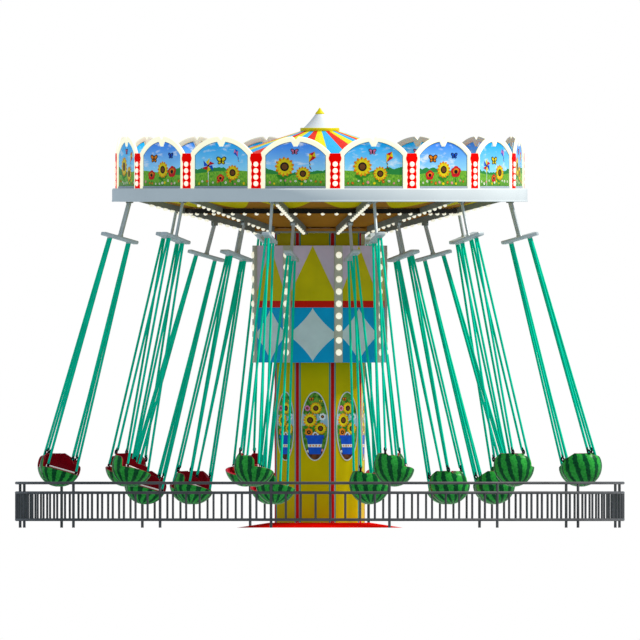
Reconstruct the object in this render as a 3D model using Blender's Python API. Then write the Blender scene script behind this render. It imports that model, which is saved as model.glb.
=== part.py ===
# Chair swing ride with twenty-four melon-shaped seats, built in metres, +Z up, front towards -Y.
import bpy
import bmesh
import math
from mathutils import Matrix, Vector

for old in list(bpy.data.objects):
    bpy.data.objects.remove(old, do_unlink=True)

# Plan layout: angles are measured from the front (-Y) and grow towards +X, in degrees.
armCount = 12
firstArmAngle = 16.0
boardCount = 16
firstPillarAngle = 3.9
bayCount = 16
firstPostAngle = 12.85
jointGap = 0.0003

# Fixed parts
plinthFootRadius, plinthTopRadius, plinthHeight = 1.66, 1.02, 0.10
columnRadius, columnTop, columnWall = 0.94, 5.895, 0.02
drumRadius, drumBottom, drumTop, drumWall = 1.40, 3.302, 5.644, 0.02
fenceRadius = 6.08
railHeights = (0.894, 0.70, 0.16)
railWidth, postRadius, barWidth, barsPerBay = 0.05, 0.03, 0.028, 7
postHeadroom = 0.012

# Turning head
hubRadius, hubBottom, hubTop = 1.36, 5.8955, 5.985
armStartRadius, armStartHeight, armSlope = 1.30, 5.8955, 0.257
armRootRadius, armEndRadius, armDepth, armWidth = 1.20, 4.114, 0.11, 0.11
hoopRadius, hoopBottom, hoopDepth, hoopWidth = 2.87, 6.284, 0.092, 0.06
ceilingThickness, ceilingInner, ceilingOuter = 0.02, 1.25, 4.08
rimRadius, rimBottom, rimTop, rimWall = 4.154, 6.50, 6.764, 0.03
ledgeInner, ledgeThickness = 3.78, 0.022
boardBottom, boardShoulder, boardTop = 6.782, 7.50, 7.80
boardHalfWidth, boardThickness, boardInset, archSteps = 0.728, 0.045, 0.03, 6
pillarHeight, pillarHalfWidth, pillarHeadHalfWidth, pillarThickness = 0.705, 0.098, 0.13, 0.09
pillarInset, pillarHeadHeight, pillarFlare, pillarTopHalfWidth, pillarSink = 0.075, 0.19, 0.06, 0.104, 0.002
roofFootRadius, roofFoot, roofHoleRadius, roofThickness = 3.82, 6.7863, 0.392, 0.03
roofTop = 7.928
stripeCount = 30
capBrimRadius, capBrimTop, capConeRadius, capTipRadius = 0.392, 7.998, 0.32, 0.084
capTipFoot, capTop = 8.278, 8.402

# Hanging chairs: a hanger and a seat swing together about a pin under the arm.
restLean = 15.36
outerPinRadius, outerPinHeight, outerStem = 3.94, 6.53, 0.766
innerPinRadius, innerPinHeight, innerStem = 2.18, 6.077, 0.663
knuckleRadius, knuckleLength, pinBoss = 0.036, 0.09, 0.012
lugThickness, lugWidth, lugDrop, lugRoot = 0.012, 0.09, 0.036, 0.05
stemRadius = 0.031
crossbarLength, crossbarDepth, crossbarWidth = 0.73, 0.072, 0.16
crossbarToSeat = 4.73
strandSides = 6
strandRadius, strandSpread, strandHalfGap, strandBite = 0.021, 0.20, 0.024, 0.02
frontStrandFoot = 0.30
seatRadius, benchHeight = 0.41, -0.21
lipTop, earTop, backTop = -0.105, 0.203, 0.27
# Half of the seat's rim: angle from its front and height above the centre of the bucket.
rimHalf = [(0, lipTop), (30, lipTop), (53, lipTop), (75.5, lipTop), (78, 0.05), (90, 0.112), (121, 0.14),
           (127, earTop), (137, earTop), (150, 0.225), (180, backTop)]
# Half of the hollow's six-sided plan at the bench: angle from the front and distance of each corner.
hollowCorners = [(30, 0.31), (90, 0.31), (150, 0.262)]
hollowFlare = 0.20
rindRows = (0.5, 1.0)
earAngle, earRadius = 132.0, 0.335
lapBarRadius, lapBarHeight, lapBarForward, lapBarHalf = 0.013, -0.062, 0.159, 0.332


def ringPoint(radius, angle, height):
    turn = math.radians(angle)
    return Vector((radius * math.sin(turn), -radius * math.cos(turn), height))


def paint(name, colour, roughness, metallic):
    material = bpy.data.materials.new(name)
    material.use_nodes = True
    shader = material.node_tree.nodes["Principled BSDF"]
    shader.inputs["Base Color"].default_value = (*colour, 1.0)
    shader.inputs["Roughness"].default_value = roughness
    shader.inputs["Metallic"].default_value = metallic
    return material


redPaint = paint("red_paint", (0.75, 0.01, 0.01), 0.4, 0.0)
yellowPaint = paint("yellow_paint", (0.85, 0.72, 0.02), 0.45, 0.0)
drumPaint = paint("drum_paint", (0.02, 0.30, 0.50), 0.45, 0.0)
armPaint = paint("arm_paint", (0.25, 0.26, 0.26), 0.5, 0.2)
ceilingPaint = paint("ceiling_paint", (0.30, 0.15, 0.02), 0.6, 0.0)
crownPaint = paint("crown_paint", (0.55, 0.60, 0.66), 0.45, 0.0)
roofPaint = paint("roof_paint", (0.95, 0.75, 0.05), 0.5, 0.0)
capPaint = paint("cap_paint", (0.85, 0.87, 0.90), 0.4, 0.0)
fencePaint = paint("fence_paint", (0.10, 0.11, 0.12), 0.5, 0.4)
hangerPaint = paint("hanger_paint", (0.05, 0.45, 0.32), 0.45, 0.1)
melonPaint = paint("melon_paint", (0.03, 0.28, 0.08), 0.35, 0.0)


def place(name, mesh, material, location=(0, 0, 0), rotation=(0, 0, 0), smooth=False):
    thing = bpy.data.objects.new(name, mesh)
    bpy.context.scene.collection.objects.link(thing)
    thing.location = location
    thing.rotation_euler = rotation
    if not mesh.materials:
        mesh.materials.append(material)
    if smooth:
        mesh.shade_smooth()
        mesh.set_sharp_from_angle(angle=math.radians(35))
    return thing


def meshFrom(points, faces):
    """A closed mesh from points and faces, with its normals turned outward."""
    mesh = bpy.data.meshes.new("shape")
    mesh.from_pydata([tuple(p) for p in points], [], faces)
    build = bmesh.new()
    build.from_mesh(mesh)
    bmesh.ops.recalc_face_normals(build, faces=build.faces)
    build.to_mesh(mesh)
    build.free()
    return mesh


def loopsMesh(loops, closed=False):
    """Joins rings of points with equal counts. Ends are capped, or joined to each other if closed."""
    count = len(loops[0])
    points = [p for loop in loops for p in loop]
    faces = []
    last = len(loops) if closed else len(loops) - 1
    for k in range(last):
        low, high = k * count, (k + 1) % len(loops) * count
        for j in range(count):
            after = (j + 1) % count
            faces.append((low + j, low + after, high + after, high + j))
    if not closed:
        faces.append(tuple(range(count))[::-1])
        faces.append(tuple(range(len(points) - count, len(points))))
    return meshFrom(points, faces)


def box(size, middle, turn=Matrix()):
    half = [s / 2 for s in size]
    corners = [(-1, -1), (1, -1), (1, 1), (-1, 1)]
    loops = [[turn @ (Vector((x * half[0], y * half[1], z * half[2])) + Vector(middle))
              for x, y in corners] for z in (-1, 1)]
    return loopsMesh(loops)


def rod(start, end, radius, sides, squareTo=None):
    """A straight bar between two points. With squareTo its end faces stay level."""
    start, end = Vector(start), Vector(end)
    along = (end - start).normalized()
    side = along.orthogonal().normalized() if squareTo is None else Vector(squareTo)
    other = along.cross(side).normalized()
    side = other.cross(along).normalized()
    turns = [2 * math.pi * (k + 0.5) / sides for k in range(sides)]
    return loopsMesh([[centre + side * radius * math.cos(t) + other * radius * math.sin(t)
                       for t in turns] for centre in (start, end)])


def lathe(profile, sides, firstAngle=0.0, closed=True):
    """Turns a closed profile of (radius, height) points about the vertical axis."""
    loops = []
    for k in range(sides):
        angle = firstAngle + 360.0 * k / sides
        loops.append([ringPoint(r, angle, z) for r, z in profile])
    return loopsMesh(loops, closed=closed)


def solidLathe(profile, sides, firstAngle=0.0):
    """Turns an open profile whose first and last points lie on the axis."""
    inner = profile[1:-1]
    points = [Vector((0, 0, profile[0][1])), Vector((0, 0, profile[-1][1]))]
    for k in range(sides):
        angle = firstAngle + 360.0 * k / sides
        points += [ringPoint(r, angle, z) for r, z in inner]
    rows = len(inner)
    faces = []
    for k in range(sides):
        here, there = 2 + k * rows, 2 + (k + 1) % sides * rows
        faces.append((0, there, here))
        faces.append((1, here + rows - 1, there + rows - 1))
        for j in range(rows - 1):
            faces.append((here + j, there + j, there + j + 1, here + j + 1))
    return meshFrom(points, faces)


def fused(meshes):
    """One mesh from overlapping closed shapes, joined by an exact union."""
    group = bpy.data.collections.new("pieces")
    bpy.context.scene.collection.children.link(group)
    first = bpy.data.objects.new("first", meshes[0])
    bpy.context.scene.collection.objects.link(first)
    others = [bpy.data.objects.new("piece", mesh) for mesh in meshes[1:]]
    for piece in others:
        group.objects.link(piece)
    join = first.modifiers.new("join", "BOOLEAN")
    join.operation = "UNION"
    join.solver = "EXACT"
    join.operand_type = "COLLECTION"
    join.collection = group
    graph = bpy.context.evaluated_depsgraph_get()
    mesh = bpy.data.meshes.new_from_object(first.evaluated_get(graph))
    for piece in [first, *others]:
        bpy.data.objects.remove(piece, do_unlink=True)
    bpy.data.collections.remove(group)
    mesh.materials.clear()
    tidy = bmesh.new()
    tidy.from_mesh(mesh)
    bmesh.ops.dissolve_limit(tidy, angle_limit=math.radians(0.2), verts=tidy.verts, edges=tidy.edges)
    bmesh.ops.triangulate(tidy, faces=tidy.faces)
    tidy.to_mesh(mesh)
    tidy.free()
    return mesh


# Base plinth: a flat cone of red plate that the column stands on.
plinth = solidLathe([(0, 0), (plinthFootRadius, 0), (plinthTopRadius, plinthHeight), (0, plinthHeight)], 32)
place("base_plinth", plinth, redPaint)

# Column: an eight-sided hollow casing, open at its foot and closed by a plate at its top.
foot = plinthHeight + jointGap
columnInner = columnRadius - columnWall
columnProfile = [(0, columnTop), (columnRadius, columnTop), (columnRadius, foot), (columnInner, foot),
                 (columnInner, columnTop - columnWall), (0, columnTop - columnWall)]
place("column", solidLathe(columnProfile, 8, firstArmAngle), yellowPaint)

# Drum housing: eight flat panels with a floor and a roof that close against the column.
drumInner = columnRadius + jointGap * 1.1
panelInner = drumRadius - drumWall
drumProfile = [(drumInner, drumBottom), (drumRadius, drumBottom), (drumRadius, drumTop), (drumInner, drumTop),
               (drumInner, drumTop - drumWall), (panelInner, drumTop - drumWall),
               (panelInner, drumBottom + drumWall), (drumInner, drumBottom + drumWall)]
place("drum_housing", lathe(drumProfile, 8, firstArmAngle), drumPaint)


def armUnderside(radius):
    return armStartHeight + (radius - armStartRadius) * armSlope


# Sweep frame: hub plate, twelve sloping arms, the hoop that ties them and the pin lugs below them.
framePieces = [solidLathe([(0, hubBottom), (hubRadius, hubBottom), (hubRadius, hubTop), (0, hubTop)], 24)]
hoopInner = hoopRadius - hoopWidth
hoopProfile = [(hoopInner, hoopBottom), (hoopRadius, hoopBottom),
               (hoopRadius, hoopBottom + hoopDepth), (hoopInner, hoopBottom + hoopDepth)]
framePieces.append(lathe(hoopProfile, 16, firstPillarAngle))
lugOffset = knuckleLength / 2 + jointGap + lugThickness / 2
for k in range(armCount):
    turn = Matrix.Rotation(math.radians(firstArmAngle + 30 * k - 90), 4, "Z")
    sections = []
    for radius in (armRootRadius, armEndRadius):
        sections.append([turn @ Vector((radius, y * armWidth / 2, armUnderside(radius) + z * armDepth))
                         for y, z in ((-1, 0), (1, 0), (1, 1), (-1, 1))])
    framePieces.append(loopsMesh(sections))
    for pinRadius, pinHeight in ((outerPinRadius, outerPinHeight), (innerPinRadius, innerPinHeight)):
        top = armUnderside(pinRadius) + lugRoot
        bottom = pinHeight - lugDrop
        for side in (-1, 1):
            middle = (pinRadius, side * lugOffset, (top + bottom) / 2)
            framePieces.append(box((lugWidth, lugThickness, top - bottom), middle, turn))
place("sweep_frame", fused(framePieces), armPaint)

# Ceiling: a shallow funnel of sheet that lies on the arms.


def ceilingHeight(radius):
    return armUnderside(radius) + armDepth + jointGap


ceilingProfile = [(ceilingInner, ceilingHeight(ceilingInner)), (ceilingOuter, ceilingHeight(ceilingOuter)),
                  (ceilingOuter, ceilingHeight(ceilingOuter) + ceilingThickness),
                  (ceilingInner, ceilingHeight(ceilingInner) + ceilingThickness)]
place("ceiling", lathe(ceilingProfile, 48, firstArmAngle), ceilingPaint, smooth=True)

# Rounding crown: the round rim, its ledge, sixteen arched boards and the pillars between them.
rimInner = rimRadius - rimWall
rimProfile = [(rimInner, rimBottom), (rimRadius, rimBottom), (rimRadius, rimTop + ledgeThickness),
              (ledgeInner, rimTop + ledgeThickness), (ledgeInner, rimTop), (rimInner, rimTop)]
crownPieces = [lathe(rimProfile, 48, firstPillarAngle)]
boardMiddle = rimRadius * math.cos(math.pi / boardCount) - boardInset
archRise = boardTop - boardShoulder
archRadius = (boardHalfWidth ** 2 + archRise ** 2) / (2 * archRise)
archTurn = math.asin(boardHalfWidth / archRadius)
outline = [(-boardHalfWidth, boardBottom), (boardHalfWidth, boardBottom)]
for k in range(archSteps + 1):
    swing = archTurn * (1 - 2 * k / archSteps)
    outline.append((archRadius * math.sin(swing), boardTop - archRadius + archRadius * math.cos(swing)))
pillarTop = boardBottom + pillarHeight
neck = pillarTop - pillarHeadHeight
pillarFoot = boardBottom - pillarSink
pillarOutline = [(-pillarHalfWidth, pillarFoot), (pillarHalfWidth, pillarFoot),
                 (pillarHalfWidth, neck), (pillarHeadHalfWidth, neck + pillarFlare),
                 (pillarTopHalfWidth, pillarTop), (-pillarTopHalfWidth, pillarTop),
                 (-pillarHeadHalfWidth, neck + pillarFlare), (-pillarHalfWidth, neck)]
for k in range(boardCount):
    pillarAngle = firstPillarAngle + 22.5 * k
    panels = ((pillarAngle + 11.25, boardMiddle, boardThickness, outline),
              (pillarAngle, rimRadius - pillarInset, pillarThickness, pillarOutline))
    for angle, distance, thickness, shape in panels:
        turn = Matrix.Rotation(math.radians(angle - 90), 4, "Z")
        faces = [distance - thickness / 2, distance + thickness / 2]
        crownPieces.append(loopsMesh([[turn @ Vector((x, y, z)) for y, z in shape] for x in faces]))
place("rounding_crown", fused(crownPieces), crownPaint)

# Roof canopy: a striped cone of sheet standing on the ledge.
roofSlope = (roofTop - roofFoot) / (roofFootRadius - roofHoleRadius)
roofProfile = [(roofFootRadius - roofThickness / roofSlope, roofFoot), (roofFootRadius, roofFoot),
               (roofHoleRadius, roofTop), (roofHoleRadius, roofTop - roofThickness)]
place("roof_canopy", lathe(roofProfile, stripeCount, -0.4 - 180.0 / stripeCount), roofPaint)

# Roof cap: a brim, a white cone and a pointed tip that close the hole in the canopy.
capFoot = roofTop + jointGap
capProfile = [(0, capFoot), (capBrimRadius, capFoot), (capBrimRadius, capBrimTop),
              (capConeRadius, capBrimTop), (capTipRadius, capTipFoot), (0, capTop)]
place("roof_cap", solidLathe(capProfile, 24), capPaint, smooth=True)

# Fence: sixteen bays bent to the round and set on posts, in four quadrants of four bays.
bayAngle = 360.0 / bayCount
postSides = 6
postFlat = postRadius * math.cos(math.pi / postSides)
railRadius, barRadius = railWidth / math.sqrt(2), barWidth / math.sqrt(2)
for quadrant in range(4):
    pieces = []
    for bay in range(4):
        angle = firstPostAngle + bayAngle * (4 * quadrant + bay)
        corners = [ringPoint(fenceRadius, angle + bayAngle * share, 0) for share in (0.0, 0.5, 1.0)]
        arriving = corners[0] - ringPoint(fenceRadius, angle - bayAngle / 2, 0)
        head = corners[0] + Vector((0, 0, railHeights[0] + postHeadroom))
        pieces.append(rod(corners[0], head, postRadius, postSides, squareTo=arriving))
        if bay == 3:
            corners[2] -= (corners[2] - corners[1]).normalized() * (postFlat + jointGap)
        for height in railHeights:
            for start, end in zip(corners, corners[1:]):
                level = Vector((0, 0, height))
                pieces.append(rod(start + level, end + level, railRadius, 4, squareTo=(0, 0, 1)))
        for k in range(barsPerBay):
            share = 2.0 * (k + 1) / (barsPerBay + 1)
            half = min(int(share), 1)
            middle = corners[half].lerp(corners[half + 1], share - half)
            low, high = Vector((0, 0, railHeights[2])), Vector((0, 0, railHeights[1]))
            pieces.append(rod(middle + low, middle + high, barRadius, 4, squareTo=middle))
    place("fence_%d" % (quadrant + 1), fused(pieces), fencePaint)


def hangerMesh(stemLength):
    """Knuckle, stem, crossbar and four sleeved chains, with the pin at the origin and the chair below."""
    half = knuckleLength / 2
    barFoot = -stemLength - crossbarDepth / 2
    seatMiddle = -stemLength - crossbarToSeat
    pieces = [box((crossbarLength, crossbarWidth, crossbarDepth), (0, 0, -stemLength)),
              rod((0, -half, 0), (0, half, 0), knuckleRadius, 8),
              rod((0, 0, -pinBoss), (0, 0, -stemLength), stemRadius, 8)]
    ear = math.radians(earAngle)
    lapBarTop = lapBarHeight + lapBarRadius * math.cos(math.pi / strandSides)
    feet = ((-strandHalfGap, (earRadius * math.sin(ear), earRadius * math.cos(ear), earTop)),
            (strandHalfGap, (frontStrandFoot, lapBarForward, lapBarTop)))
    turns = [2 * math.pi * (k + 0.5) / strandSides for k in range(strandSides)]
    section = [Vector((strandRadius * math.cos(t), strandRadius * math.sin(t), 0)) for t in turns]
    for y, foot in feet:
        for side in (-1, 1):
            top = Vector((side * strandSpread, y, barFoot + strandBite))
            bottom = Vector((side * foot[0], foot[1], seatMiddle + foot[2] + jointGap))
            pieces.append(loopsMesh([[centre + reach for reach in section] for centre in (top, bottom)]))
    return fused(pieces)


def hollowRadius(angle, height):
    """Distance of the hollow's flat walls from the bucket's axis, at an angle from the front and a height."""
    first, last = hollowCorners[0], hollowCorners[-1]
    corners = [(-first[0], first[1]), *hollowCorners, (360 - last[0], last[1])]
    for (before, near), (after, far) in zip(corners, corners[1:]):
        if before <= abs(angle) <= after:
            break
    start, end = ringPoint(near, before, 0), ringPoint(far, after, 0)
    along, ray = end - start, ringPoint(1, abs(angle), 0)
    distance = start.xy.cross(along.xy) / ray.xy.cross(along.xy)
    return distance * (1 + hollowFlare * (height - benchHeight))


def seatMesh(drop):
    """A melon bucket with a low front lip, a bench inside and a lap bar, with the pin at the origin."""
    columns = rimHalf + [(-angle, height) for angle, height in rimHalf[-2:0:-1]]
    count = len(columns)
    rows = []
    for share in rindRows:
        turns = [share * math.acos(-height / seatRadius) for _, height in columns]
        rows.append([(seatRadius * math.sin(turn), -seatRadius * math.cos(turn)) for turn in turns])
    rows.append([(hollowRadius(angle, height), height) for angle, height in columns])
    rows.append([(hollowRadius(angle, benchHeight), benchHeight) for angle, _ in columns])
    points = [(0, 0, -seatRadius - drop), (0, 0, benchHeight - drop)]
    for row in rows:
        for (angle, _), (flat, height) in zip(columns, row):
            turn = math.radians(angle)
            points.append((flat * math.sin(turn), flat * math.cos(turn), height - drop))
    faces = []
    last = 2 + (len(rows) - 1) * count
    for k in range(count):
        after = (k + 1) % count
        faces.append((0, 2 + after, 2 + k))
        faces.append((1, last + k, last + after))
        for row in range(len(rows) - 1):
            low, high = 2 + row * count, 2 + (row + 1) * count
            faces.append((low + k, low + after, high + after, high + k))
    bucket = meshFrom(points, faces)
    turns = [2 * math.pi * (k + 0.5) / strandSides for k in range(strandSides)]
    foot = lipTop - strandBite
    loops = []
    for x, z, lean, stretch in ((-1, foot, 0, 1), (-1, lapBarHeight, -45, math.sqrt(2)),
                                (1, lapBarHeight, -135, math.sqrt(2)), (1, foot, -180, 1)):
        across = Vector((math.cos(math.radians(lean)), 0, math.sin(math.radians(lean))))
        middle = Vector((x * lapBarHalf, lapBarForward, z - drop))
        loops.append([middle - across * (lapBarRadius * stretch * math.cos(t))
                      + Vector((0, lapBarRadius * math.sin(t), 0)) for t in turns])
    return fused([bucket, loopsMesh(loops)])


rings = (("outer", outerPinRadius, outerPinHeight, outerStem),
         ("inner", innerPinRadius, innerPinHeight, innerStem))
for ring, pinRadius, pinHeight, stemLength in rings:
    hanger, seat = hangerMesh(stemLength), seatMesh(stemLength + crossbarToSeat)
    for k in range(armCount):
        angle = firstArmAngle + 30.0 * k
        pin = ringPoint(pinRadius, angle, pinHeight)
        lean = (0, -math.radians(restLean), math.radians(angle - 90))
        place("hanger_%s_%02d" % (ring, k + 1), hanger, hangerPaint, pin, lean)
        place("seat_%s_%02d" % (ring, k + 1), seat, melonPaint, pin, lean)
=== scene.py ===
# Chair swing ride: finished surfaces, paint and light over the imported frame
import math
import bmesh
import bpy
import numpy as np
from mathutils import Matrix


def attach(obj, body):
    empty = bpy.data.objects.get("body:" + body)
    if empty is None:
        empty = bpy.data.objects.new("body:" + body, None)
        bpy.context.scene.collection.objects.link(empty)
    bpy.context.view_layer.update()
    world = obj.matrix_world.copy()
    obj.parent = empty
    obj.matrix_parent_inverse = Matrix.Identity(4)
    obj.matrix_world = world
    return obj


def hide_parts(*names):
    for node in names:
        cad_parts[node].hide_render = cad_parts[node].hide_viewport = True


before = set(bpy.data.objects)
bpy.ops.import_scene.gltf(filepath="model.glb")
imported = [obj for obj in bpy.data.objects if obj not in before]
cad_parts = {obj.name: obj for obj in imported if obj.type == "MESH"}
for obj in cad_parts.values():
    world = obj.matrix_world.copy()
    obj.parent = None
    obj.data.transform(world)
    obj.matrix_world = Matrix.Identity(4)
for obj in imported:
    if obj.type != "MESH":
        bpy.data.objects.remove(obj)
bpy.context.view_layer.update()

print("frame loaded:", len(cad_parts), "nodes")


# Settings of one piece, read as plan.width
class Plan(dict):
    __getattr__ = dict.__getitem__


# Grids and shapes

# numbers and arrays of like shape side by side, as the last axis
def table(*columns):
    return np.stack(np.broadcast_arrays(*columns), -1)


# A bearing is measured from the front (-Y) and grows towards +X, in degrees.
# (R sin a, -R cos a, z), for whole arrays
def ringSpot(radius, bearing, height):
    a = np.radians(bearing)
    return table(radius * np.sin(a), -radius * np.cos(a), height)


# bearings at even steps round the circle, and the angles of a circle's points
def evenly(first, count):
    return first + 360.0 / count * np.arange(count)


def circle(count):
    return np.linspace(0, 2 * np.pi, count, endpoint=False)


# rows of (side, over, out) unit vectors: side runs round the ride, over goes up, out leaves the axis
def ringFrames(bearings):
    a = np.radians(np.asarray(bearings, float))
    zero, one = np.zeros_like(a), np.ones_like(a)
    side = table(np.cos(a), np.sin(a), zero)
    out = table(np.sin(a), -np.cos(a), zero)
    return np.stack([side, table(zero, zero, one), out], 1)


# quads between neighbours of a table of rows x columns points
def gridFaces(rows, columns, wrapRows=False, wrapColumns=False):
    r = np.arange(rows if wrapRows else rows - 1)[:, None]
    c = np.arange(columns if wrapColumns else columns - 1)[None, :]
    nextR, nextC = (r + 1) % rows, (c + 1) % columns
    corners = [r * columns + c, r * columns + nextC, nextR * columns + nextC, nextR * columns + c]
    return table(*corners).reshape(-1, 4)


# a surface: points, faces (a triangle's fourth corner is -1), one finish number a face, and a place a point
def skin(points, faces, finish=0, place=None):
    points = np.asarray(points, float).reshape(-1, 3)
    faces = np.asarray(faces, int).reshape(-1, 4)
    finish = np.broadcast_to(np.asarray(finish), (len(faces),))
    return {"points": points, "faces": faces, "finish": finish,
            "place": points if place is None else np.asarray(place, float).reshape(-1, 3)}


# several surfaces as one: each one's face numbers grow by the points before it
def joined(skins):
    offsets = np.cumsum([0] + [len(s["points"]) for s in skins[:-1]])
    faces = [np.where(s["faces"] < 0, -1, s["faces"] + o) for s, o in zip(skins, offsets)]
    return {"points": np.concatenate([s["points"] for s in skins]), "faces": np.concatenate(faces),
            "finish": np.concatenate([s["finish"] for s in skins]),
            "place": np.concatenate([s["place"] for s in skins])}


# one ring of points closed by triangles to a middle point
def fan(ring, middle, flip=False):
    after = np.roll(ring, -1)
    ends = (after, ring) if flip else (ring, after)
    return table(np.full_like(ring, middle), *ends, np.full_like(ring, -1))


# rings of points (rows x around), joined row to row and closed at both ends by a fan to the mean point
def loft(rings, finish=0, wrapRows=False):
    rows, around = rings.shape[:2]
    faces = gridFaces(rows, around, wrapRows, True)
    points = rings.reshape(-1, 3)
    count = len(points)
    if not wrapRows:
        faces = np.concatenate([faces, fan(np.arange(around), count, True),
                                fan(np.arange(around) + count - around, count + 1)])
        points = np.concatenate([points, rings[:1].mean(1), rings[-1:].mean(1)])
    return skin(points, faces, finish)


# a profile of (radius, height) turned about its own Z: (r cos t, r sin t, z); poles where the radius is 0
def turned(profile, sides, finish=0, closed=False):
    profile = np.asarray(profile, float)
    t = np.arange(sides) * 2 * np.pi / sides
    inner = profile if closed else profile[(profile[:, 0] > 0)]
    rings = table(inner[:, :1] * np.cos(t), inner[:, :1] * np.sin(t), np.repeat(inner[:, 1:], sides, 1))
    if closed:
        return loft(rings, finish, True)
    made = loft(rings, finish)
    if profile[0, 0] == 0:
        made["points"][-2, 2] = profile[0, 1]
    if profile[-1, 0] == 0:
        made["points"][-1, 2] = profile[-1, 1]
    return made


# a short rod about its middle, its ends bevelled by (across, along)
def bevelRod(radius, half, bevel, sides, finish=0):
    low = [(0, -half), (radius - bevel[0], -half), (radius, bevel[1] - half)]
    return turned(low + [(r, -z) for r, z in low[::-1]], sides, finish)


# a circle of radius r carried along a path: path(s) + r(s) (side cos t + over sin t)
def tube(path, radius, sides=12, finish=0, closed=False, guide=(0.0, 0.0, 1.0)):
    path = np.asarray(path, float)
    if closed:
        along = np.roll(path, -1, 0) - np.roll(path, 1, 0)
    else:
        along = np.gradient(path, axis=0)
    along /= np.linalg.norm(along, axis=1)[:, None]
    side = np.cross(along, guide)
    side /= np.linalg.norm(side, axis=1)[:, None]
    over = np.cross(side, along)
    t = (np.arange(sides) + 0.5) * 2 * np.pi / sides
    reach = np.broadcast_to(np.asarray(radius, float), (len(path),))[:, None, None]
    rings = path[:, None] + reach * (side[:, None] * np.cos(t)[:, None] + over[:, None] * np.sin(t)[:, None])
    return loft(rings, finish, closed)


# copies of one small shape: origin + x side + y over + z out, for all origins at once
def stamped(shape, origins, frames):
    origins = np.asarray(origins, float).reshape(-1, 3)
    count, size = len(origins), len(shape["points"])
    points = origins[:, None] + np.einsum("pk,nkj->npj", shape["points"], np.asarray(frames, float))
    shift = (np.arange(count) * size)[:, None, None]
    faces = np.where(shape["faces"][None] < 0, -1, shape["faces"][None] + shift)
    return {"points": points.reshape(-1, 3), "faces": faces.reshape(-1, 4),
            "finish": np.tile(shape["finish"], count), "place": np.tile(shape["place"], (count, 1))}


# copies of a shape round the ride, each facing out
def ringOf(shape, radius, bearings, height=0.0):
    return stamped(shape, ringSpot(radius, bearings, height), ringFrames(bearings))


# a table of points and the same table moved by an offset, closed round the edge
def slab(front, offset, place=None):
    rows, columns = front.shape[:2]
    back = front + offset
    count = rows * columns
    index = np.arange(count).reshape(rows, columns)
    edge = np.concatenate([index[0, :-1], index[:-1, -1], index[-1, :0:-1], index[:0:-1, 0]])
    after = np.roll(edge, -1)
    faces = gridFaces(rows, columns)
    sides = table(edge, edge + count, after + count, after)
    spots = None if place is None else np.concatenate([place.reshape(-1, 3)] * 2)
    return skin(np.concatenate([front.reshape(-1, 3), back.reshape(-1, 3)]),
                np.concatenate([faces, faces[:, ::-1] + count, sides]), place=spots)


# a box with rounded edges: superellipse sections |x/a|^p + |y/b|^p = 1 that shrink near both ends
def softBox(size, power=8, rounding=0.006, around=20):
    a, b, c = (v / 2 for v in size)
    t = (np.arange(around) + 0.5) * 2 * np.pi / around
    x = a * np.sign(np.cos(t)) * np.abs(np.cos(t)) ** (2 / power)
    y = b * np.sign(np.sin(t)) * np.abs(np.sin(t)) ** (2 / power)
    heights = np.array([-c, -c + 0.3 * rounding, -c + rounding, c - rounding, c - 0.3 * rounding, c])
    inset = np.array([rounding, 0.3 * rounding, 0, 0, 0.3 * rounding, rounding])
    return loft(table(x * (1 - inset[:, None] / a), y * (1 - inset[:, None] / b), heights[:, None]))


def linked(name, data):
    made = bpy.data.objects.new(name, data)
    bpy.context.scene.collection.objects.link(made)
    return made


# the mesh goes in as whole arrays; a piece rides on its body and may stand for CAD nodes
def makePiece(name, skins, finishes, body, standsFor=(), sharp=35):
    whole = joined(skins)
    mesh = bpy.data.meshes.new(name)
    mesh.vertices.add(len(whole["points"]))
    mesh.vertices.foreach_set("co", whole["points"].astype(np.float32).ravel())
    sides = np.where(whole["faces"][:, 3] < 0, 3, 4)
    corners = whole["faces"].ravel()
    corners = corners[corners >= 0]
    mesh.loops.add(len(corners))
    mesh.loops.foreach_set("vertex_index", corners.astype(np.int32))
    mesh.polygons.add(len(sides))
    mesh.polygons.foreach_set("loop_start", (np.cumsum(sides) - sides).astype(np.int32))
    mesh.update(calc_edges=True)
    place = mesh.attributes.new("partPlace", "FLOAT_VECTOR", "POINT")
    place.data.foreach_set("vector", whole["place"].astype(np.float32).ravel())
    for finish in finishes:
        mesh.materials.append(finish)
    mesh.polygons.foreach_set("material_index", whole["finish"].astype(np.int32))
    build = bmesh.new()
    build.from_mesh(mesh)
    bmesh.ops.recalc_face_normals(build, faces=build.faces)
    build.to_mesh(mesh)
    build.free()
    mesh.shade_smooth()
    mesh.set_sharp_from_angle(angle=math.radians(sharp))
    piece = linked(name, mesh)
    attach(piece, body)
    if standsFor:
        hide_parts(*standsFor)
    return piece


# Finishes

# a node's output that can be reckoned with: each sign adds the Math node of that meaning
class Value:
    def __init__(self, finish, socket):
        self.finish, self.socket = finish, socket


def sign(operation, turned):
    def reckon(self, *other):
        return self.finish.calc(operation, *((*other, self) if turned else (self, *other)))
    return reckon


for word, operation in {"add": "ADD", "sub": "SUBTRACT", "mul": "MULTIPLY", "truediv": "DIVIDE",
                        "pow": "POWER", "mod": "FLOORED_MODULO", "lt": "LESS_THAN", "gt": "GREATER_THAN",
                        "abs": "ABSOLUTE"}.items():
    setattr(Value, "__%s__" % word, sign(operation, False))
    setattr(Value, "__r%s__" % word, sign(operation, True))


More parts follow.
